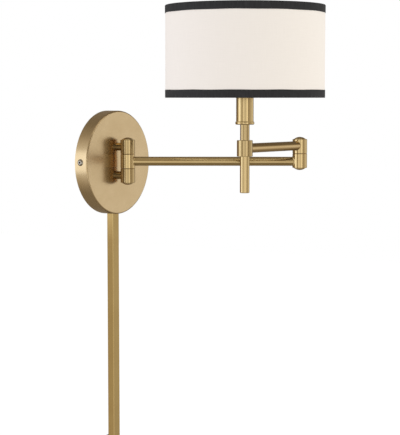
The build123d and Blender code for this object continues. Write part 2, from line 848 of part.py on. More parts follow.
def trim(edge, inward):
    """Folded trim tape: a wide outer leg, a web over the edge and a short leg behind the wire."""
    outer = shade_diameter / 2
    inner = wire_ring_radius - shade_wire / 2 - bond_gap - trim_thickness
    with BuildPart() as tape:
        with BuildSketch(turning_plane(edge, inward)):
            with BuildLine():
                Polyline(
                    (inner, 0),
                    (outer, 0),
                    (outer, trim_width),
                    (outer - trim_thickness, trim_width),
                    (outer - trim_thickness, trim_thickness),
                    (inner + trim_thickness, trim_thickness),
                    (inner + trim_thickness, trim_inner_width),
                    (inner, trim_inner_width),
                    close=True,
                )
            make_face()
        revolve(axis=Axis(edge, inward))
    return tape


keep(trim(shade_top, -up), "shade_trim_top")

with BuildPart() as shade_trim_bottom:
    add(trim(shade_base, up).part)
    # notches where the wire arms reach the ring
    for index in range(shade_arm_count):
        arm_start, arm_end = shade_arm_ends(index)
        with BuildSketch(Plane(origin=arm_start, z_dir=arm_end - arm_start)):
            Circle(shade_wire / 2 + loose_fit)
        extrude(amount=(arm_end - arm_start).length + shade_wire, mode=Mode.SUBTRACT)
keep(shade_trim_bottom, "shade_trim_bottom")

# ------------------------------------------------------------------ wiring
cable_corner = Vector(upper_post_centre.X, -cable_plate_depth, upper_post_centre.Z)
cable_end = cable_corner + up * cable_rise
plate_route = [cable_end, cable_corner, upper_post_centre, upper_joint]
keep(cable(plate_route, cable_diameter, cable_bend), "plate_cable")
arm_1_route = [upper_joint, hinge_centre, elbow_on_arm_1, elbow_joint]
keep(cable(arm_1_route, cable_diameter, cable_bend), "arm_1_cable")
arm_2_route = [elbow_joint, elbow_on_arm_2, stem_centre, socket_floor_top - up * contact_rivet]
keep(cable(arm_2_route, cable_diameter, [cable_bend, stem_cable_bend]), "arm_2_cable")

lead_start = cable_end
lead_finish = cable_end + up * lead_length
lead_pairs = []
connector_pairs = []
for side in (-1, 1):
    leaves = lead_start + Vector(side * lead_pitch / 2, 0, 0)
    arrives = lead_finish + Vector(side * connector_pitch / 2, 0, 0)
    lead_route = [leaves, leaves + up * lead_end, arrives - up * lead_end, arrives]
    lead_pairs.append(cable(lead_route, lead_diameter, lead_bend))
    connector_pairs.append(
        turned(
            arrives,
            up,
            [
                (0, 0),
                (connector_mouth / 2, 0),
                (connector_mouth / 2, connector_length / 2),
                (connector_tip / 2, connector_length),
                (0, connector_length),
            ],
        )
    )
keep_group(lead_pairs, "plate_leads")
keep_group(connector_pairs, "wire_connectors")

# ------------------------------------------------------------------ cord cover, clip and bushing
with BuildPart() as cord_cover:
    with BuildSketch(Plane(origin=(0, -cover_middle, cover_bottom))):
        Rectangle(cover_width, cover_depth)
    extrude(amount=cover_length)
    fillet(cord_cover.edges().filter_by(Axis.Z).group_by(Axis.Y)[0], cover_edge)
    # hollow, open towards the wall
    with BuildSketch(Plane(origin=(0, -cover_stand_off, cover_bottom))):
        Rectangle(
            cover_width - 2 * cover_wall, cover_depth - cover_wall, align=(Align.CENTER, Align.MAX)
        )
    extrude(amount=cover_length, mode=Mode.SUBTRACT)
keep(cord_cover, "cord_cover")

clip_width = cover_width - 2 * cover_wall - 2 * fixed_fit
clip_base = cover_bottom + clip_end_gap
with BuildPart() as cover_clip:
    with BuildSketch(Plane(origin=(0, 0, clip_base))):
        Rectangle(clip_width, clip_reach, align=(Align.CENTER, Align.MAX))
        with Locations((0, -clip_thickness)):
            Rectangle(
                clip_width - 2 * clip_thickness,
                clip_reach,
                align=(Align.CENTER, Align.MAX),
                mode=Mode.SUBTRACT,
            )
    extrude(amount=clip_height)
    with BuildSketch(Plane(origin=(0, 0, clip_base + clip_height / 2), z_dir=outward)):
        Circle(clip_hole / 2)
    extrude(amount=clip_thickness, mode=Mode.SUBTRACT)
keep(cover_clip, "cover_clip")

with BuildPart() as cord_bushing:
    with BuildSketch(Plane(origin=(0, -cover_middle, cover_top))):
        Rectangle(cover_width, cover_depth)
    extrude(amount=bushing_flange)
    with BuildSketch(Plane(origin=(0, -cover_stand_off, cover_top))):
        Rectangle(
            cover_width - 2 * cover_wall - 2 * fixed_fit,
            cover_depth - cover_wall - fixed_fit,
            align=(Align.CENTER, Align.MAX),
        )
    extrude(amount=-bushing_spigot)
    with BuildSketch(Plane(origin=(0, -cover_middle, cover_top - bushing_spigot))):
        Circle(cord_hole / 2)
    extrude(amount=bushing_spigot + bushing_flange, mode=Mode.SUBTRACT)
keep(cord_bushing, "cord_bushing")
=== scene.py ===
"""Looks of the swing arm wall sconce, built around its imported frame.

Lengths in the shape functions are millimetres; the meshes are written in metres, in the frame's own
axes: +Z up, the wall in the XZ plane and the lamp towards -Y.
"""

import math

import bmesh
import bpy
import numpy as np
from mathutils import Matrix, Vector


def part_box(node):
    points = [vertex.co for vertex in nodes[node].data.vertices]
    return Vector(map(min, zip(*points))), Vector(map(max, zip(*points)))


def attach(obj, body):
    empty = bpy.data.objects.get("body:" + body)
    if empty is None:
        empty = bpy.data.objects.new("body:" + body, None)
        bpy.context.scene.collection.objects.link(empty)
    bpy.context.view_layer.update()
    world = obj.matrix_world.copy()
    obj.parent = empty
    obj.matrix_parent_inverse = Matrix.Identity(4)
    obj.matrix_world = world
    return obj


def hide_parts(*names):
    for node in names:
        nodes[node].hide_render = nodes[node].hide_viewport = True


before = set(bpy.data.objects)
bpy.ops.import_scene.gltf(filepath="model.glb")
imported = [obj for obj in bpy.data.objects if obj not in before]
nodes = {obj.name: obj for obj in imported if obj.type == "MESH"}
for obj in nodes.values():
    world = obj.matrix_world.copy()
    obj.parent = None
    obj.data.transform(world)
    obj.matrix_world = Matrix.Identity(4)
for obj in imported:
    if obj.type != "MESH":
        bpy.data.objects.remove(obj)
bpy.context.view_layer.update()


# ------------------------------------------------------------------ node trees written as sums
class Value:
    """A node's output that can be used in sums; each operator adds a Math node."""

    def __init__(self, recipe, socket):
        self.recipe = recipe
        self.socket = socket

    def __add__(self, other):
        return self.recipe.maths("ADD", self, other)

    def __radd__(self, other):
        return self.recipe.maths("ADD", other, self)

    def __sub__(self, other):
        return self.recipe.maths("SUBTRACT", self, other)

    def __rsub__(self, other):
        return self.recipe.maths("SUBTRACT", other, self)

    def __mul__(self, other):
        return self.recipe.maths("MULTIPLY", self, other)

    def __rmul__(self, other):
        return self.recipe.maths("MULTIPLY", other, self)

    def __truediv__(self, other):
        return self.recipe.maths("DIVIDE", self, other)

    def __abs__(self):
        return self.recipe.maths("ABSOLUTE", self)


class Recipe:
    """A node tree under construction."""

    def __init__(self, tree):
        self.tree = tree
        tree.nodes.clear()

    def add(self, kind, settings=None, sockets=None, out=0):
        """Make a node, set it up, fill its sockets and hand back one of its outputs."""
        node = self.tree.nodes.new(kind)
        for name, value in (settings or {}).items():
            if name == "stops":
                ramp = node.color_ramp
                while len(ramp.elements) < len(value):
                    ramp.elements.new(0.5)
                for element, (place, colour) in zip(ramp.elements, value):
                    element.position = place
                    element.color = colour
            else:
                setattr(node, name, value)
        for name, value in (sockets or {}).items():
            if isinstance(value, Value):
                self.tree.links.new(value.socket, node.inputs[name])
            else:
                node.inputs[name].default_value = value
        return Value(self, node.outputs[out]) if node.outputs else None

    def maths(self, operation, *terms):
        """A Math node on one or two terms, which may be numbers."""
        return self.add("ShaderNodeMath", {"operation": operation}, dict(enumerate(terms)))

    def part(self, vector, axis):
        """One coordinate of a vector."""
        return self.add("ShaderNodeSeparateXYZ", None, {"Vector": vector}, out=axis)

    def ray(self, kind):
        """What the light path says of the ray that sees this."""
        return self.add("ShaderNodeLightPath", out=kind)

    def fade(self, value, low, high, start=0.0, end=1.0):
        """Smooth step of a value from start, at low, to end, at high."""
        return self.add(
            "ShaderNodeMapRange",
            {"interpolation_type": "SMOOTHSTEP"},
            {"Value": value, "From Min": low, "From Max": high, "To Min": start, "To Max": end},
        )

    def tint(self, factor, first, second):
        """Colour between two others."""
        return self.add(
            "ShaderNodeMix", {"data_type": "RGBA"}, {0: factor, 6: first, 7: second}, out=2
        )


class Finish(Recipe):
    """A material under construction, on a principled shader."""

    def __init__(self, name):
        self.material = bpy.data.materials.new(name)
        self.material.use_nodes = True
        super().__init__(self.material.node_tree)

    def place(self, stretch=(1, 1, 1), turn=(0, 0, 0)):
        """Object coordinates, turned about the axes and then stretched."""
        plain = self.add("ShaderNodeTexCoord", out="Object")
        turned = self.add("ShaderNodeMapping", None, {"Vector": plain, "Rotation": turn})
        return self.add("ShaderNodeMapping", None, {"Vector": turned, "Scale": stretch})

    def cloth_place(self, stretch=(1, 1, 1)):
        """The piece's own map, in metres around and up, stretched."""
        plain = self.add("ShaderNodeUVMap", {"uv_map": "cloth"})
        return self.add("ShaderNodeMapping", None, {"Vector": plain, "Scale": stretch})

    def grain(self, place, scale=1.0, detail=2.0, roughness=0.5):
        """Noise between 0 and 1 at a place."""
        sockets = {"Vector": place, "Scale": scale, "Detail": detail, "Roughness": roughness}
        return self.add("ShaderNodeTexNoise", None, sockets)

    def relief(self, height, depth, strength=1.0):
        """Normal from a height between 0 and 1 and its depth in metres."""
        sockets = {"Height": height, "Distance": depth, "Strength": strength}
        return self.add("ShaderNodeBump", None, sockets)

    def done(self, **sockets):
        """Close the tree with the principled shader; socket names are written with underscores."""
        named = {name.replace("_", " "): value for name, value in sockets.items()}
        shader = self.add("ShaderNodeBsdfPrincipled", None, named)
        self.add("ShaderNodeOutputMaterial", None, {"Surface": shader})
        return self.material


def rgb(red, green, blue):
    return (red, green, blue, 1.0)


# ------------------------------------------------------------------ finishes
def machined(recipe, stretch, turn=(0, 0, 0)):
    """Fine machining lines, drawn out by the stretch, slow clouds, and the tone both make together."""
    lines = recipe.grain(recipe.place(stretch, turn), 1.0, 3.0, 0.6)
    clouds = recipe.grain(recipe.place(), 45.0, 2.0, 0.5)
    return lines, clouds, recipe.fade(lines * 0.55 + clouds * 0.45, 0.3, 0.7)


def brass(
    name,
    stretch,
    turn=(0, 0, 0),
    roughness=0.12,
    deep=rgb(0.72, 0.523, 0.236),
    pale=rgb(0.775, 0.583, 0.277),
):
    """Satin brass: machining lines over slow changes between a deep and a pale tone."""
    recipe = Finish(name)
    lines, clouds, tone = machined(recipe, stretch, turn)
    return recipe.done(
        Base_Color=recipe.tint(tone, deep, pale),
        Metallic=1.0,
        Roughness=roughness + lines * 0.04 + clouds * 0.02,
        Normal=recipe.relief(lines, 0.000002, 0.5),
    )


def plate_brass():
    """Satin brass of the backplate: lines run round the rim and faint strokes cross the face."""
    recipe = Finish("plate_brass")
    rim_lines = recipe.grain(recipe.place((12, 5200, 12)), 1.0, 3.0, 0.6)
    strokes = recipe.grain(recipe.place((90, 60, 1500), (0, 0.35, 0)), 1.0, 3.0, 0.65)
    facing = recipe.add("ShaderNodeNewGeometry", out="Normal")
    on_face = recipe.fade(abs(recipe.part(facing, "Y")), 0.5, 0.9)
    lines = rim_lines * (1.0 - on_face) + strokes * on_face
    clouds = recipe.grain(recipe.place(), 28.0, 3.0, 0.55)
    tone = recipe.fade(lines * 0.4 + clouds * 0.6, 0.3, 0.7)
    return recipe.done(
        Base_Color=recipe.tint(tone, rgb(0.68, 0.50, 0.26), rgb(0.77, 0.58, 0.32)),
        Metallic=1.0,
        Roughness=0.24 - on_face * 0.04 + lines * 0.03 + clouds * 0.04,
        Normal=recipe.relief(lines, 0.000002, 0.5),
    )


def painted_light_cover_brass():
    """Satin brass of the cord cover, with painted shade on its two sides and a painted highlight along
    its two front corners.
    """
    recipe = Finish("cover_brass")
    lines, clouds, tone = machined(recipe, (4500, 4500, 14))
    spot = recipe.place()
    sideways = abs(recipe.part(spot, "X"))
    low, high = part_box("cord_cover")
    half_width, front = high.x, low.y
    from_corner = (half_width - sideways) + (recipe.part(spot, "Y") - front)
    # painted highlight: paler brass within about a millimetre of the two front corners
    painted_highlight = recipe.fade(from_corner, 0.0007, 0.0014, 1.0, 0.0)
    # painted shade: the side faces take a darker copy of the front's brass
    on_side = recipe.fade(sideways, half_width - 0.0006, half_width - 0.0001)
    front_tone = recipe.tint(tone, rgb(0.474, 0.320, 0.115), rgb(0.521, 0.362, 0.1355))
    shaded_side_tone = recipe.tint(tone, rgb(0.459, 0.298, 0.103), rgb(0.504, 0.338, 0.121))
    painted_highlight_tone = recipe.tint(tone, rgb(0.59, 0.41, 0.155), rgb(0.65, 0.46, 0.183))
    return recipe.done(
        Base_Color=recipe.tint(painted_highlight, recipe.tint(on_side, front_tone, shaded_side_tone), painted_highlight_tone),
        Metallic=1.0,
        Roughness=0.2 + lines * 0.04 + clouds * 0.02,
        Normal=recipe.relief(lines, 0.000002, 0.5),
    )


def steel(name, colour, roughness, scale=900.0):
    """Plated steel: a fine sparkle of crystals in tone and roughness."""
    recipe = Finish(name)
    crystals = recipe.grain(recipe.place(), scale, 4.0, 0.6)
    darker = tuple(0.8 * part for part in colour)
    return recipe.done(
        Base_Color=recipe.tint(recipe.fade(crystals, 0.35, 0.65), rgb(*darker), rgb(*colour)),
        Metallic=1.0,
        Roughness=roughness + crystals * 0.12,
        Normal=recipe.relief(crystals, 0.00002, 0.3),
    )


def moulded(name, colour, roughness, depth=0.00003, scale=1400.0):
    """Moulded plastic, rubber or enamel: a fine pebble and a slow change of tone."""
    recipe = Finish(name)
    pebble = recipe.grain(recipe.place(), scale, 2.0, 0.5)
    clouds = recipe.grain(recipe.place(), 60.0, 2.0, 0.5)
    darker = tuple(0.86 * part for part in colour)
    return recipe.done(
        Base_Color=recipe.tint(recipe.fade(clouds, 0.3, 0.7), rgb(*darker), rgb(*colour)),
        Roughness=roughness + pebble * 0.1,
        Normal=recipe.relief(pebble, depth, 0.4),
    )


def woven_shade():
    """Plain woven cloth: crossing threads 0.45 mm apart with slubs along both directions."""
    recipe = Finish("woven_shade")
    place = recipe.cloth_place()
    warp = recipe.part(place, "X")
    weft = recipe.part(place, "Y")
    pitch = 2 * math.pi / 0.00045
    across = recipe.maths("SINE", warp * pitch)
    along = recipe.maths("SINE", weft * pitch)
    threads = 0.5 + 0.25 * across + 0.25 * along
    slub_up = recipe.grain(recipe.cloth_place((1400, 45, 1)), 1.0, 2.0, 0.5)
    slub_round = recipe.grain(recipe.cloth_place((45, 1400, 1)), 1.0, 2.0, 0.5)
    slubs = 0.5 * slub_up + 0.5 * slub_round
    tone = recipe.fade(slubs * 0.75 + threads * 0.25, 0.25, 0.75)
    return recipe.done(
        Base_Color=recipe.tint(tone, rgb(0.835, 0.768, 0.686), rgb(0.875, 0.808, 0.726)),
        Roughness=0.85 + 0.08 * slubs,
        Specular_IOR_Level=0.2,
        Sheen_Weight=0.05,
        Normal=recipe.relief(0.4 * threads + 0.6 * slubs, 0.00008, 0.5),
    )


def shade_lining():
    """White styrene backing of the cloth, with faint clouds of glue behind it."""
    recipe = Finish("shade_lining")
    clouds = recipe.grain(recipe.place(), 70.0, 3.0, 0.6)
    tone = recipe.fade(clouds, 0.3, 0.7)
    return recipe.done(
        Base_Color=recipe.tint(tone, rgb(0.82, 0.80, 0.76), rgb(0.88, 0.86, 0.82)),
        Roughness=0.45 + 0.1 * clouds,
        Normal=recipe.relief(clouds, 0.00005, 0.3),
    )


def ribbed_tape():
    """Black ribbed tape: ribs 0.9 mm apart across its length, with a little lint."""
    recipe = Finish("ribbed_tape")
    around = recipe.part(recipe.cloth_place(), "X")
    ribs = 0.5 + 0.5 * recipe.maths("SINE", around * (2 * math.pi / 0.0009))
    lint = recipe.grain(recipe.cloth_place((500, 900, 1)), 1.0, 4.0, 0.7)
    tone = recipe.fade(lint, 0.3, 0.8)
    return recipe.done(
        Base_Color=recipe.tint(tone, rgb(0.017, 0.0165, 0.0168), rgb(0.031, 0.0305, 0.0308)),
        Roughness=0.65 + 0.15 * lint,
        Specular_IOR_Level=0.3,
        Sheen_Weight=0.04,
        Normal=recipe.relief(0.7 * ribs + 0.3 * lint, 0.00006, 0.5),
    )


def opal_glass():
    """Frosted white glass of the bulb."""
    recipe = Finish("opal_glass")
    frost = recipe.grain(recipe.place(), 1800.0, 2.0, 0.5)
    return recipe.done(
        Base_Color=recipe.tint(frost, rgb(0.88, 0.87, 0.84), rgb(0.94, 0.93, 0.90)),
        Roughness=0.3 + 0.1 * frost,
        Coat_Weight=0.3,
        Normal=recipe.relief(frost, 0.00001, 0.3),
    )


# directions of the arms in plan, in degrees from +X
arm_1_yaw = -56.8
arm_2_yaw = 177.5

lines_round = (30, 30, 6000)
lines_along = (5000, 30, 30)
upright_brass = brass("upright_brass", lines_round)
arm_1_brass = brass("arm_1_brass", lines_along, (0, 0, -math.radians(arm_1_yaw)))
# painted shade: arm 2 gets a darker copy of arm 1's brass
arm_2_shaded_brass = brass(
    "arm_2_shaded_brass",
    lines_along,
    (0, 0, -math.radians(arm_2_yaw)),
    deep=rgb(0.66, 0.46, 0.205),
    pale=rgb(0.71, 0.51, 0.24),
)
# painted shade: a darker copy of the upright brass, for the upper stem, the collar and the top and
# bottom wall knuckles
shaded_brass = brass(
    "shaded_brass", lines_round, deep=rgb(0.60, 0.43, 0.194), pale=rgb(0.645, 0.48, 0.227)
)
cover_brass = painted_light_cover_brass()
solder_brass = brass("solder_brass", (400, 400, 400), roughness=0.26)
wall_brass = plate_brass()
zinc = steel("zinc", (0.62, 0.63, 0.64), 0.34)
nickel = steel("nickel", (0.54, 0.48, 0.38), 0.20, 2500.0)
# near-black steel: painted shade inside the rim screws' hex sockets
painted_shade_black = steel("painted_shade_black", (0.03, 0.028, 0.025), 0.5, 2500.0)
contact_metal = steel("contact_metal", (0.72, 0.55, 0.26), 0.25)
bulb_metal = steel("bulb_metal", (0.74, 0.73, 0.70), 0.28)
tin = steel("tin", (0.70, 0.70, 0.71), 0.35, 600.0)
nylon = moulded("nylon", (0.78, 0.77, 0.72), 0.45)
phenolic = moulded("phenolic", (0.02, 0.019, 0.018), 0.35)
rubber = moulded("rubber", (0.022, 0.022, 0.023), 0.62, 0.00006)
jacket = moulded("jacket", (0.70, 0.67, 0.60), 0.45, 0.00002)
dark_jacket = moulded("dark_jacket", (0.05, 0.05, 0.052), 0.42, 0.00002)
splice_plastic = moulded("splice_plastic", (0.66, 0.22, 0.03), 0.38, 0.00002)
enamel = moulded("enamel", (0.84, 0.83, 0.79), 0.3, 0.00002, 300.0)
shade_cloth = woven_shade()
lining = shade_lining()
tape = ribbed_tape()
opal = opal_glass()

# the solids that each finish dresses
dressed = {
    wall_brass: ("backplate",),
    upright_brass: (
        "hinge_posts", "wall_knuckle_middle", "wall_cap_upper", "wall_cap_lower",
        "elbow_knuckle_lower", "elbow_knuckle_upper", "elbow_cap_lower", "elbow_cap_upper",
        "stem_tail", "candle_ring", "candle_sleeve",
    ),
    arm_1_brass: ("arm_1_tube",),
    arm_2_shaded_brass: ("arm_2_tube",),
    # painted shade on these parts of the same brass
    shaded_brass: ("stem_upper", "stem_collar", "wall_knuckle_upper", "wall_knuckle_lower"),
    cover_brass: ("cord_cover",),
    zinc: (
        "mounting_bracket", "post_washers", "post_nuts", "wall_pivots", "wall_spring_washers",
        "elbow_pivot", "elbow_spring_washer", "elbow_lock_nut", "lamp_pipe", "pipe_nut", "cover_clip",
    ),
    nickel: ("side_screws",),
    contact_metal: ("socket_shell", "socket_contact"),
    bulb_metal: ("bulb_base",),
    nylon: ("wall_thrust_washers", "elbow_thrust_washer"),
    phenolic: ("socket_body", "shade_ring_nut"),
    rubber: ("cord_bushing",),
    jacket: ("plate_cable", "arm_1_cable", "arm_2_cable"),
    dark_jacket: ("plate_leads",),
    splice_plastic: ("wire_connectors",),
    enamel: ("shade_hub", "shade_arms", "shade_ring_bottom", "shade_ring_top"),
    shade_cloth: ("shade_drum",),
    tape: ("shade_trim_top", "shade_trim_bottom"),
    opal: ("bulb_glass",),
}
for material, names in dressed.items():
    for name in names:
        for slot in nodes[name].material_slots:
            slot.material = material


# ------------------------------------------------------------------ shapes
def middle(node):
    """Middle of a CAD node's box, in millimetres."""
    low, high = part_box(node)
    return np.array((low + high) / 2) * 1000


def level(node, end):
    """Lowest (end 0) or highest (end 1) height of a CAD node, in millimetres."""
    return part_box(node)[end].z * 1000


def radius_of(node):
    """Half the width of a CAD node's box, in millimetres."""
    low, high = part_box(node)
    return (high.x - low.x) * 500


def rounded(corners, radii, steps=5):
    """Closed outline with its corners rounded.

    Each corner's arc runs between the points r / tan(a) along its two sides, where a is half the
    corner's angle, about a centre r / sin(a) along the bisector.
    """
    corners = np.asarray(corners, float)
    radii = np.broadcast_to(np.asarray(radii, float), len(corners))[:, None]
    back = np.roll(corners, 1, 0) - corners
    ahead = np.roll(corners, -1, 0) - corners
    back /= np.linalg.norm(back, axis=1, keepdims=True)
    ahead /= np.linalg.norm(ahead, axis=1, keepdims=True)
    half = np.arccos(np.clip((back * ahead).sum(1, keepdims=True), -1, 1)) / 2
    bisector = back + ahead
    bisector /= np.linalg.norm(bisector, axis=1, keepdims=True)
    centre = corners + bisector * radii / np.sin(half)
    first = corners + back * radii / np.tan(half) - centre
    last = corners + ahead * radii / np.tan(half) - centre
    turn = math.pi - 2 * half[:, :, None]
    share = np.linspace(0, 1, steps)[None, :, None]
    arc = np.sin((1 - share) * turn) * first[:, None] + np.sin(share * turn) * last[:, None]
    return (centre[:, None] + arc / np.sin(turn)).reshape(-1, 2)


def through(knots, count):
    """Smooth curve through knots: a cubic between each two, with the slope of their neighbours."""
    knots = np.asarray(knots, float)
    slopes = np.gradient(knots, axis=0)
    place = np.linspace(0, len(knots) - 1, count)
    index = np.minimum(place.astype(int), len(knots) - 2)
    t = (place - index)[:, None]
    start, end = knots[index], knots[index + 1]
    leave, arrive = slopes[index], slopes[index + 1]
    return (
        (2 * t**3 - 3 * t**2 + 1) * start
        + (t**3 - 2 * t**2 + t) * leave
        + (3 * t**2 - 2 * t**3) * end
        + (t**3 - t**2) * arrive
    )


def turned(profile, centre, segments=96, axis=(0, 0, 1), swell=None):
    """Grid of a profile turned about an axis.

    The point at angle t and profile place (r, h) is centre + r cos(t) e1 + r sin(t) e2 + h e3, with
    e3 the axis. A swell adds its own function of (t, r, h) to the radius.
    """
    up = np.array(axis, float)
    first = np.array((1.0, 0, 0)) if abs(up[2]) > 0.5 else np.array((0, 0, 1.0))
    second = np.cross(up, first)
    profile = np.asarray(profile, float)
    angle = np.linspace(0, 2 * math.pi, segments, endpoint=False)[:, None]
    radius = np.broadcast_to(profile[:, 0], (segments, len(profile)))
    height = np.broadcast_to(profile[:, 1], radius.shape)
    if swell is not None:
        radius = radius + swell(angle, radius, height)
    return (
        np.asarray(centre, float)
        + (radius * np.cos(angle))[..., None] * first
        + (radius * np.sin(angle))[..., None] * second
        + height[..., None] * up
    )


def faces_of(rows, columns, close_rows, close_columns):
    """Row and column of the four corners of every face of a grid, before the closing wraps them."""
    row, column = np.meshgrid(
        np.arange(rows if close_rows else rows - 1),
        np.arange(columns if close_columns else columns - 1),
        indexing="ij",
    )
    corner_rows = np.stack([row, row + 1, row + 1, row], -1).reshape(-1, 4)
    corner_columns = np.stack([column, column, column + 1, column + 1], -1).reshape(-1, 4)
    return corner_rows, corner_columns


def piece(name, grids, body, materials, replaced=(), sharp=32, cloth=None):
    """One mesh from grids of points, in the frame's place, riding with a body.

    Each grid is (points, rows close, columns close, material place per column or one number). Edges
    steeper than sharp, in degrees, stay crisp. With cloth given as (length round, length up), the
    piece gets a map in metres.
    """
    points, faces, places, maps = [], [], [], []
    offset = 0
    for grid, close_rows, close_columns, place in grids:
        rows, columns = grid.shape[:2]
        at_row, at_column = faces_of(rows, columns, close_rows, close_columns)
        faces.append((at_row % rows) * columns + at_column % columns + offset)
        points.append(grid.reshape(-1, 3))
        places.append(np.broadcast_to(place, columns)[at_column[:, 0] % columns])
        if cloth:
            maps.append(np.stack([at_row / rows * cloth[0], at_column / columns * cloth[1]], -1))
        offset += rows * columns
    points = np.concatenate(points) * 0.001
    faces = np.concatenate(faces)
    mesh = bpy.data.meshes.new(name)
    mesh.from_pydata(points, [], faces.tolist())
    for material in materials:
        mesh.materials.append(material)
    mesh.polygons.foreach_set("material_index", np.concatenate(places).astype(np.int32))
    if cloth:
        layer = mesh.uv_layers.new(name="cloth")
        layer.data.foreach_set("uv", np.concatenate(maps).astype(np.float32).ravel())
    merge_points(mesh)
    mesh.shade_smooth()
    mesh.set_sharp_from_angle(angle=math.radians(sharp))
    made = bpy.data.objects.new(name, mesh)
    bpy.context.scene.collection.objects.link(made)
    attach(made, body)
    if replaced:
        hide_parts(*replaced)
    return made


def merge_points(mesh):
    """Close the poles and seams of a mesh whose points meet there."""
    work = bmesh.new()
    work.from_mesh(mesh)
    bmesh.ops.remove_doubles(work, verts=work.verts, dist=1e-7)
    work.to_mesh(mesh)
    work.free()


# ------------------------------------------------------------------ shade
stem_x, stem_y, _ = middle("candle_sleeve")
stem_axis = (stem_x, stem_y, 0)
shade_low, shade_high = level("shade_trim_bottom", 0), level("shade_trim_top", 1)
shade_radius = radius_of("shade_trim_top")
seam_angle = math.radians(34.0)
tape_cover = 0.45           # tape over the cloth, with its glue
cloth_wall = 1.0
shade_steps = 540           # points round the shade


def seam_step(angle, width, rise):
    """Flat step of a lapped seam, with 1.2 mm soft edges, at the seam's angle."""
    away = np.abs((angle - seam_angle + math.pi) % (2 * math.pi) - math.pi) * shade_radius
    return rise * np.clip((width / 2 - away) / 1.2, 0, 1)


def drum_piece():
    """Cloth drum: a thin closed wall with a lapped seam, its cloth outside and its lining inside."""
    outer = shade_radius - tape_cover
    low, high = shade_low + tape_cover, shade_high - tape_cover
    rows = 25
    heights = np.linspace(low, high, rows)
    outside = np.stack([np.full(rows, outer), heights], -1)
    inside = np.stack([np.full(rows, outer - cloth_wall), heights[::-1]], -1)
    profile = np.concatenate([outside, inside])

    def swell(angle, radius, height):
        pull = 0.05 * np.sin(7 * angle + 0.05 * height) + 0.03 * np.sin(17 * angle - 0.11 * height)
        return pull + np.where(radius > outer - 0.5, seam_step(angle, 13.0, 0.3), 0)

    grid = turned(profile, stem_axis, shade_steps, swell=swell)
    place = np.where(np.arange(2 * rows) < rows - 1, 0, 1)
    return piece(
        "cloth_drum",
        [(grid, True, True, place)],
        "arm_2",
        [shade_cloth, lining],
        ["shade_drum"],
        sharp=50,
        cloth=(2 * math.pi * outer / 1000, 2 * (high - low) / 1000),
    )


def trim_piece(name, edge, way, replaced):
    """Folded tape: a wide outer leg, a web over the shade's edge and a short leg behind the wire.

    The legs stand up from the edge where way is 1 and hang from it where way is -1.
    """
    outer = shade_radius
    inner = shade_radius - 4.95
    thick, outer_leg, inner_leg = 0.4, 10, 4
    corners = np.array(
        [
            (inner, 0),
            (outer, 0),
            (outer, outer_leg),
            (outer - thick, outer_leg),
            (outer - thick, thick),
            (inner + thick, thick),
            (inner + thick, inner_leg),
            (inner, inner_leg),
        ]
    )
    outline = rounded(corners, (0.7, 0.8, 0.14, 0.14, 0.35, 0.3, 0.14, 0.14))
    outline[:, 1] = edge + way * outline[:, 1]
    if way < 0:
        outline = outline[::-1]

    def swell(angle, radius, height):
        drift = 0.04 * np.sin(5 * angle + 1.0) + 0.03 * np.sin(13 * angle)
        return drift + np.where(radius > outer - 1, seam_step(angle, 15.0, 0.3), 0)

    grid = turned(outline, stem_axis, shade_steps, swell=swell)
    leg_end = np.abs(outline[:, 1] - edge) > 6
    waves = np.sin(np.linspace(0, 22 * math.pi, shade_steps, endpoint=False))
    grid[..., 2] += np.where(leg_end, 0.12, 0) * waves[:, None]
    return piece(
        name,
        [(grid, True, True, 0)],
        "arm_2",
        [tape],
        replaced,
        sharp=40,
        cloth=(2 * math.pi * outer / 1000, 0.032),
    )


drum_piece()
trim_piece("tape_top", shade_high, -1, ["shade_trim_top"])
trim_piece("tape_bottom", shade_low, 1, ["shade_trim_bottom"])


def wire_arms():
    """Three wires from the hub to the lower ring, each swelling into a weld at both ends."""
    wire, weld, weld_place, weld_length = 1.5, 0.55, 1.2, 1.6
    hub_radius = radius_of("shade_hub")
    start_height, end_height = middle("shade_hub")[2], middle("shade_ring_bottom")[2]
    reach = radius_of("shade_ring_bottom") - 2.6
    share = np.concatenate(
        [np.linspace(0, 0.06, 9), np.linspace(0.1, 0.9, 9), np.linspace(0.94, 1, 9)]
    )
    turn = np.linspace(0, 2 * math.pi, 20, endpoint=False)
    length = reach - hub_radius + wire
    from_start, from_end = share * length, (1 - share) * length
    bead = weld * np.exp(-((from_start - weld_place) / weld_length) ** 2)
    bead += weld * np.exp(-((from_end - weld_place) / weld_length) ** 2)
    ends = np.minimum(from_start, from_end)
    radius = (wire + bead) * np.sqrt(1 - (1 - ends).clip(0, 1) ** 2)
    grids = []
    for yaw in (30, 150, 270):
        along = np.array((math.cos(math.radians(yaw)), math.sin(math.radians(yaw)), 0))
        start = np.array((stem_x, stem_y, start_height)) + along * (hub_radius - wire)
        finish = np.array((stem_x, stem_y, end_height)) + along * reach
        line = (finish - start) / np.linalg.norm(finish - start)
        side = np.array((-along[1], along[0], 0))
        over = np.cross(line, side)
        spine = start + share[:, None] * (finish - start)
        ring = np.cos(turn)[:, None] * side + np.sin(turn)[:, None] * over
        grids.append((spine[None] + radius[None, :, None] * ring[:, None], True, False, 0))
    return piece("spider_wires", grids, "arm_2", [enamel], ["shade_arms"], sharp=60)


wire_arms()

hub_low, hub_high = level("shade_hub", 0), level("shade_hub", 1)
hub_corners = [
    (13.2, hub_low),
    (19.5, hub_low),
    (19.5, hub_high),
    (16.8, hub_high),
    (16.2, hub_high - 0.35),
    (13.2, hub_high - 0.35),
]
hub_grid = turned(rounded(hub_corners, (0.25, 0.5, 0.5, 0.2, 0.2, 0.25)), stem_axis)
piece("spider_hub", [(hub_grid, True, True, 0)], "arm_2", [enamel], ["shade_hub"])


# ------------------------------------------------------------------ socket and bulb
edison_pitch = 2.54         # thread of the bulb and of the shell that holds it


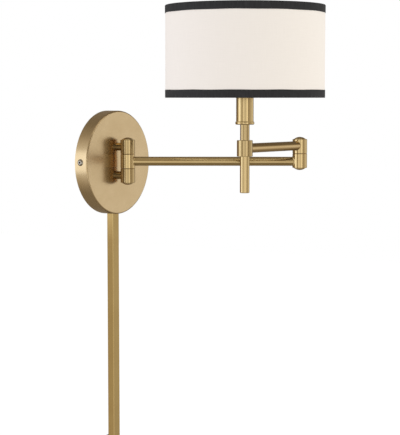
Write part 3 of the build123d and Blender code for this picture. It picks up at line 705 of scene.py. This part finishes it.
def helix(pitch, depth, low, high, base_height):
    """Rounded thread from low to high, as a swell that cuts its grooves to a depth.

    The cut follows the sine of the angle less 2 pi times the height over the pitch, and it fades in
    and out over the first and last 0.6 of a turn.
    """

    def swell(angle, radius, height):
        wave = 0.5 + 0.5 * np.sin(angle - 2 * math.pi * (height - base_height) / pitch)
        start = np.clip((height - low) / (0.6 * pitch), 0, 1)
        end = np.clip((high - height) / (0.6 * pitch), 0, 1)
        return -depth * wave * start * end

    return swell


def socket_piece():
    """Moulded socket: foot, flange and a skirt with a coarse outer thread for the ring nut."""
    base, top = level("socket_body", 0), level("socket_body", 1)
    flange_low, flange_high = level("candle_sleeve", 1), level("shade_hub", 0)
    skirt_radius = 13.0
    skirt_heights = np.linspace(flange_high + 0.3, top - 0.8, 70)
    foot_and_flange = [
        (4.9, base),
        (9.6, base),
        (10.0, base + 0.4),
        (10.0, flange_low - 0.2),
        (10.2, flange_low),
        (14.6, flange_low),
        (15.0, flange_low + 0.4),
        (15.0, flange_high - 0.4),
        (14.6, flange_high),
        (13.1, flange_high),
    ]
    mouth_and_bore = [
        (12.4, top),
        (7.3, top),
        (6.85, top - 0.5),
        (6.85, base + 14),
        (2.05, base + 14),
        (2.05, base + 6),
        (4.9, base + 6),
    ]
    skirt = np.stack([np.full(70, skirt_radius), skirt_heights], -1)
    profile = np.concatenate([foot_and_flange, skirt, mouth_and_bore])
    thread = helix(2.0, 0.45, flange_high + 1.0, top - 1.2, flange_high)

    def swell(angle, radius, height):
        return np.where(np.abs(radius - skirt_radius) < 0.01, thread(angle, radius, height), 0)

    grid = turned(profile, stem_axis, 96, swell=swell)
    return piece(
        "socket_moulding",
        [(grid, True, True, 0)],
        "arm_2",
        [phenolic],
        ["socket_body"],
    )


def ring_nut_piece():
    """Knurled ring nut: its outside is scalloped by forty finger grips."""
    low, high = level("shade_ring_nut", 0), level("shade_ring_nut", 1)
    corners = [(13.05, low), (17.0, low), (17.0, high), (13.05, high)]
    outline = rounded(corners, (0.25, 0.4, 0.7, 0.4), 6)

    def swell(angle, radius, height):
        grips = 0.5 - 0.5 * np.cos(40 * angle)
        return np.where(radius > 16, -0.45 * grips * np.clip((radius - 16) / 0.8, 0, 1), 0)

    grid = turned(outline, stem_axis, 320, swell=swell)
    return piece(
        "grip_ring",
        [(grid, True, True, 0)],
        "arm_2",
        [phenolic],
        ["shade_ring_nut"],
    )


def bulb_cap():
    """Threaded metal cap of the bulb, with its solder tip and the dark ring round it."""
    tip, top = level("bulb_base", 0), level("bulb_base", 1)
    start = tip + 4
    wall_radius = 5.9
    wall = np.stack([np.full(90, wall_radius), np.linspace(start + 2.2, top - 0.5, 90)], -1)
    foot = [
        (0, tip),
        (1.6, tip + 0.25),
        (2.5, tip + 1.2),
        (2.5, tip + 1.9),
        (4.2, tip + 2.9),
        (5.3, start + 0.6),
    ]
    mouth = [(6.1, top), (5.5, top), (5.5, start + 1.0), (0, start + 1.0)]
    profile = np.concatenate([foot, wall, mouth])
    column = np.arange(len(profile))
    place = np.where(column < 3, 1, np.where(column < 5, 2, 0))
    thread = helix(edison_pitch, 0.5, start + 3.5, top - 4.0, start)

    def swell(angle, radius, height):
        return np.where(np.abs(radius - wall_radius) < 0.01, thread(angle, radius, height), 0)

    return piece(
        "bulb_screw",
        [(turned(profile, stem_axis, 64, swell=swell), True, False, place)],
        "arm_2",
        [bulb_metal, tin, phenolic],
        ["bulb_base"],
    )


def bulb_envelope():
    """Candle shaped frosted glass, closed by a flat floor inside the cap."""
    foot, high = level("bulb_base", 1), level("bulb_glass", 1)
    knots = [
        (5.7, 0),
        (5.75, 5),
        (12.6, 17),
        (17.4, 32),
        (14.6, 47),
        (9.0, 60),
        (4.2, 70),
        (1.6, 74.6),
        (0.0, 75.9),
    ]
    outer = through(knots, 80)
    outer[-1, 0] = 0.0
    outer[:, 1] = np.minimum(outer[:, 1] + foot, high)
    floor_points = [(0.0, foot + 0.2), (5.0, foot + 0.2)]
    return piece(
        "bulb_envelope",
        [(turned(np.concatenate([floor_points, outer]), stem_axis, 72), True, False, 0)],
        "arm_2",
        [opal],
        ["bulb_glass"],
        sharp=60,
    )


def shell_piece():
    """Screw shell of the socket: a thin metal wall rolled into the bulb's thread."""
    low, high = level("socket_shell", 0), level("socket_shell", 1)
    heights = np.linspace(low, high, 70)
    outside = np.stack([np.full(70, 6.75), heights], -1)
    inside = np.stack([np.full(70, 6.4), heights[::-1]], -1)
    thread = helix(edison_pitch, 0.3, low + 1.0, high - 1.0, low)
    return piece(
        "screw_shell",
        [(turned(np.concatenate([outside, inside]), stem_axis, 64, swell=thread), True, True, 0)],
        "arm_2",
        [contact_metal],
        ["socket_shell"],
    )


socket_piece()
ring_nut_piece()
bulb_cap()
bulb_envelope()
shell_piece()


# ------------------------------------------------------------------ soldered joints of the tubes
def saddle(name, hub, hub_radius, height, yaw, tube_radius, leg, body):
    """Concave fillet where a level tube meets an upright cylinder, as a closed ring.

    At angle u round the tube and t through the arc the distance from the tube's axis is
    p = r + f - f cos(t), and the distance from the cylinder's axis, along the tube, is
    sqrt(R^2 - (p sin u)^2) + f - f sin(t). Two buried rows close the ring inside the metal.
    """
    t = np.linspace(0, math.pi / 2, 8)
    edge = tube_radius + leg
    off = np.concatenate([edge - leg * np.cos(t), [edge - 0.1, tube_radius - 0.4]])
    lift = np.concatenate([leg - leg * np.sin(t), [-0.8, -0.8]])
    u = np.linspace(0, 2 * math.pi, 96, endpoint=False)[:, None]
    distance = np.sqrt(hub_radius**2 - (off * np.sin(u)) ** 2) + lift
    distance[:, -1] = hub_radius + 0.2
    along = np.array((math.cos(math.radians(yaw)), math.sin(math.radians(yaw)), 0))
    side = np.array((-along[1], along[0], 0))
    centre = np.array((hub[0], hub[1], height))
    grid = (
        centre
        + distance[..., None] * along
        + (off * np.sin(u))[..., None] * side
        + (off * np.cos(u))[..., None] * np.array((0, 0, 1))
    )
    return piece(name, [(grid, True, True, 0)], body, [solder_brass], sharp=60)


hinge = middle("wall_knuckle_middle")
elbow = middle("elbow_pivot")
collar = middle("stem_collar")
arm_1_height = hinge[2]
arm_2_height = collar[2]
post_heights = {end: middle("wall_knuckle_" + end)[2] for end in ("upper", "lower")}
# radii of the cylinders and of the tubes that meet them
knuckle, collar_wall, tube, post = 9.8, 10.1, 6.1, 5.4
saddle("solder_hinge_arm_1", hinge, knuckle, arm_1_height, arm_1_yaw, tube, 0.6, "arm_1")
saddle("solder_elbow_arm_1", elbow, knuckle, arm_1_height, arm_1_yaw + 180, tube, 1.2, "arm_1")
saddle("solder_elbow_arm_2", elbow, knuckle, arm_2_height, arm_2_yaw, tube, 0.5, "arm_2")
saddle("solder_collar_arm_2", collar, collar_wall, arm_2_height, arm_2_yaw - 180, tube, 0.6, "arm_2")
for end, height in post_heights.items():
    saddle("solder_post_" + end, hinge, knuckle, height, 90, post, 0.5, "wall_plate")


# ------------------------------------------------------------------ nuts, splices and rim screws
def hexagon(flat, angle):
    """Radius of a hexagon at an angle, from half its width across the flats."""
    sector = (angle + math.pi / 6) % (math.pi / 3) - math.pi / 6
    return flat / np.cos(sector)


def hex_nuts():
    """Two nuts: the hexagon's radius at each angle, cut by a cone at both faces."""
    low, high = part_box("post_nuts")
    near, far = low.y * 1000, high.y * 1000
    heights = np.array([near, near + 0.01, near + 0.6, far - 0.6, far - 0.01, far])
    radii = np.array([4.1, 6.4, 7.6, 7.6, 6.4, 4.1])
    bore = np.stack([np.full(2, 4.05), [far - 0.4, near + 0.4]], -1)
    profile = np.concatenate([np.stack([radii, heights], -1), bore])

    def swell(angle, radius, height):
        return np.where(radius > 5, np.minimum(radius, hexagon(6.5, angle)) - radius, 0)

    centres = [(hinge[0], 0, height) for height in post_heights.values()]
    grids = [(turned(profile, centre, 144, (0, 1, 0), swell), True, True, 0) for centre in centres]
    return piece("post_hex_nuts", grids, "wall_plate", [zinc], ["post_nuts"], sharp=25)


def splice_caps():
    """Two twist-on wire connectors: tapered shells with ten gripping flutes."""
    low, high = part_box("wire_connectors")
    bottom, top = low.z * 1000, high.z * 1000
    cap_width = 9.0
    apart = (high.x - low.x) * 1000 - cap_width
    depth = (low.y + high.y) * 500
    knots = [
        (4.1, 0),
        (4.5, 0.5),
        (4.5, 4.0),
        (4.35, 9.5),
        (3.5, 14.0),
        (2.75, 17.6),
        (2.2, 18.7),
        (1.1, 19.0),
    ]
    outer = through(knots, 48)
    outer[:, 1] = np.clip(outer[:, 1], 0, top - bottom)
    profile = np.concatenate([[(0, 1.5), (3.4, 1.5), (3.6, 0.1)], outer, [(0, top - bottom)]])
    profile[:, 1] += bottom

    def swell(angle, radius, height):
        share = (height - bottom) / (top - bottom)
        flutes = 0.5 - 0.5 * np.cos(10 * angle)
        start, end = np.clip((share - 0.12) / 0.2, 0, 1), np.clip((0.95 - share) / 0.1, 0, 1)
        return -0.5 * flutes * start * end * (radius > 2)

    centres = [(side * apart / 2, depth, 0) for side in (-1, 1)]
    return piece(
        "splice_caps",
        [(turned(profile, centre, 120, swell=swell), True, False, 0) for centre in centres],
        "wall_plate",
        [splice_plastic],
        ["wire_connectors"],
        sharp=45,
    )


def rim_screws():
    """Two button-head screws: a domed head whose flat face holds a hexagonal socket, with painted
    shade: the socket's walls and floor are near black.
    """
    head_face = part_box("side_screws")[1].x * 1000
    _, depth, height = middle("side_screws")
    shank = [(0, -10.1), (1.7, -10.1), (2.0, -9.75), (2.0, -2.1), (4.3, -2.1), (4.4, -2.0)]
    dome = through([(4.4, -1.7), (3.6, -0.62), (2.4, 0)], 14)
    socket_radius = 1.42
    socket = [(1.5, 0), (socket_radius, -0.08), (socket_radius, -1.3), (0, -2.0)]
    profile = np.concatenate([shank, dome, socket])
    # painted shade: the socket's walls and floor take the near-black steel
    painted_shade_faces = np.arange(len(profile)) >= len(profile) - 3

    def swell(angle, radius, height):
        walls = np.abs(radius - socket_radius) < 0.01
        return np.where(walls, hexagon(1.25, angle) - radius, 0)

    grids = []
    for side in (-1, 1):
        centre = (side * head_face, depth, height)
        grids.append((turned(profile, centre, 96, (side, 0, 0), swell), True, False, painted_shade_faces))
    return piece(
        "rim_screws",
        grids,
        "wall_plate",
        [nickel, painted_shade_black],
        ["side_screws"],
        sharp=25,
    )


hex_nuts()
splice_caps()
rim_screws()

# ------------------------------------------------------------------ camera
# where the camera stands: degrees round from -Y and degrees up
view_azimuth, view_elevation = math.radians(-55.98), math.radians(4.78)
backwards = Vector(
    (
        math.sin(view_azimuth) * math.cos(view_elevation),
        -math.cos(view_azimuth) * math.cos(view_elevation),
        math.sin(view_elevation),
    )
)
lens = bpy.data.cameras.new("camera")
lens.sensor_width = 36.0
lens.lens = 120.0
camera = bpy.data.objects.new("camera", lens)
camera.location = (-1.56819, -1.21119, 0.08941)
camera.rotation_mode = "QUATERNION"
camera.rotation_quaternion = (-backwards).to_track_quat("-Z", "Y")
bpy.context.scene.collection.objects.link(camera)
bpy.context.scene.camera = camera

# ------------------------------------------------------------------ studio
# Each table gives a value at angles round the object, in degrees to the right of the camera's side.
# light of the panels
panels = [
    (-180, 0.18), (-150, 0.16), (-124, 0.14), (-113, 0.18), (-102, 0.45), (-92, 0.64), (-80, 0.70),
    (-66, 0.66), (-56, 0.71), (-48, 0.57), (-35, 0.32), (-28, 0.76), (-19, 1.12), (-9, 0.93), (3, 0.80),
    (14, 0.78), (22, 1.06), (35, 1.28), (41, 0.36), (52, 0.28), (60, 0.44), (78, 0.54), (96, 0.58),
    (106, 0.82), (120, 0.82), (136, 0.42), (160, 0.20), (180, 0.18),
]
# share of its full height that a panel stands above the level band
tall = [
    (-180, 0.4), (-125, 0.4), (-105, 1), (-50, 1), (-30, 0.3), (-12, 0), (12, 0), (30, 0.3),
    (60, 0.3), (105, 0.3), (125, 0.3), (150, 0), (180, 0.3),
]
# light of the ceiling over the panels
roof = [
    (-180, 0.18), (-125, 0.18), (-60, 0.40), (20, 0.29), (70, 0.22), (105, 0.17), (150, 0.13),
    (180, 0.18),
]
# share of the full rise of the ground in front of the panels
sunk = [(-180, 0), (60, 0), (92, 1), (150, 1), (180, 0)]
ground_light = 0.19


def studio():
    """Soft surround: white to the eye, nearly even light on cloth, upright panels in the metal's gloss.

    Seen by way of a second piece of metal the panels are dimmer and bluer, least so on the right.
    """
    world = bpy.data.worlds.new("studio")
    bpy.context.scene.world = world
    world.use_nodes = True
    recipe = Recipe(world.node_tree)
    direction = recipe.add("ShaderNodeTexCoord", out="Generated")
    east, north, height = (recipe.part(direction, axis) for axis in "XYZ")
    sine, cosine = math.sin(view_azimuth), math.cos(view_azimuth)
    forward = east * sine - north * cosine
    rightward = east * cosine + north * sine
    turn = recipe.maths("ARCTAN2", rightward, forward) / (2 * math.pi) + 0.5

    def round_about(table, scale):
        """Value of a table at the turn; the scale is at least the table's largest value."""
        stops = [((angle + 180) / 360, (value / scale,) * 3 + (1,)) for angle, value in table]
        ramp = recipe.add("ShaderNodeValToRGB", {"stops": stops}, {"Fac": turn})
        return recipe.add("ShaderNodeSeparateColor", None, {"Color": ramp}, out="Red") * scale

    # panels between the ceiling and the ground, as metal shows them
    above = recipe.fade(height - round_about(tall, 1.0) * 0.5, -0.12, 0.24)
    below = recipe.fade(height - round_about(sunk, 1.0) * 0.18, -0.8, -0.24, 1.0, 0.0)
    upright = round_about(panels, 2.0) * (1.0 - above) * (1.0 - below)
    gloss = upright + above * round_about(roof, 1.0) + below * ground_light

    # light on cloth: a little more from the left and the right than from front and back
    angle = (turn - 0.5) * (2 * math.pi)
    front_and_back = recipe.maths("COSINE", angle * 2.0)
    right_side = recipe.maths("COSINE", angle - math.radians(75))
    left_side = recipe.maths("COSINE", angle + math.radians(75))
    cloth_light = 1.05 + 0.03 * right_side - 0.14 * front_and_back

    # the panels count as 2 deep in a first reflection and as 3 or more in a reflection of one
    later = recipe.fade(recipe.ray("Ray Depth"), 2.0, 3.0)
    from_right = recipe.fade(recipe.maths("COSINE", angle - math.radians(84)), 0.4, 0.95)
    gloss = gloss * (1.0 - (0.68 - 0.56 * from_right) * later)

    glossy = recipe.ray("Is Glossy Ray")
    diffuse = recipe.ray("Is Diffuse Ray")
    strength = glossy * gloss + diffuse * cloth_light + (1.0 - glossy) * (1.0 - diffuse)

    first_tone = recipe.tint(
        recipe.fade(gloss, 0.1, 0.8), rgb(1.12, 0.97, 0.80), rgb(1.0, 1.0, 1.04)
    )
    later_tone = recipe.tint(from_right, rgb(1.03, 1.12, 1.60), rgb(1.16, 1.13, 1.40))
    gloss_tone = recipe.tint(later, first_tone, later_tone)
    cloth_tone = recipe.tint(
        recipe.fade(left_side, 0.2, 1.0), rgb(1, 1, 1), rgb(0.99, 1.01, 1.09)
    )
    colour = recipe.tint(diffuse, recipe.tint(glossy, rgb(1, 1, 1), gloss_tone), cloth_tone)
    sky = recipe.add("ShaderNodeBackground", None, {"Strength": strength, "Color": colour})
    recipe.add("ShaderNodeOutputWorld", None, {"Surface": sky})


def softbox(name, place, aim, width, height, radiance, tint):
    """Rectangular lamp that faces a point, seen only in gloss; its power is pi * area * radiance."""
    light = bpy.data.lights.new(name, "AREA")
    light.shape = "RECTANGLE"
    light.size, light.size_y = width, height
    light.energy = math.pi * width * height * radiance
    light.color = tint
    lamp = bpy.data.objects.new(name, light)
    lamp.location = place
    lamp.rotation_euler = (Vector(aim) - Vector(place)).to_track_quat("-Z", "Y").to_euler()
    lamp.visible_camera = False
    lamp.visible_diffuse = False
    bpy.context.scene.collection.objects.link(lamp)


studio()
softbox(
    "left_softbox",
    place=(-0.395, 0.150, 0.01),
    aim=(-0.003, -0.223, 0.01),
    width=0.30,
    height=0.26,
    radiance=0.76,
    tint=(0.87, 1.0, 1.30),
)


def floor():
    """Pale floor under the lamp: white to the eye, shaded where the lamp stands over it."""
    reach, depth = 4, -0.62
    mesh = bpy.data.meshes.new("floor")
    corners = [(-reach, -reach), (reach, -reach), (reach, reach), (-reach, reach)]
    mesh.from_pydata([(x, y, depth) for x, y in corners], [], [(0, 1, 2, 3)])
    made = bpy.data.objects.new("floor", mesh)
    bpy.context.scene.collection.objects.link(made)
    recipe = Finish("floor_white")
    pale = recipe.add("ShaderNodeBsdfDiffuse", None, {"Color": rgb(0.5, 0.5, 0.5)})
    glow = recipe.add("ShaderNodeEmission", None, {"Color": rgb(1, 1, 1), "Strength": 0.52})
    shown = recipe.add("ShaderNodeAddShader", None, {0: pale, 1: glow})
    through_it = recipe.add("ShaderNodeBsdfTransparent")
    seen = recipe.ray("Is Camera Ray") + recipe.ray("Is Transmission Ray")
    behind = recipe.add("ShaderNodeNewGeometry", out="Backfacing")
    share = seen * (1.0 - behind)
    final = recipe.add("ShaderNodeMixShader", None, {0: share, 1: through_it, 2: shown})
    recipe.add("ShaderNodeOutputMaterial", None, {"Surface": final})
    mesh.materials.append(recipe.material)


floor()
bpy.context.scene.view_settings.view_transform = "Standard"
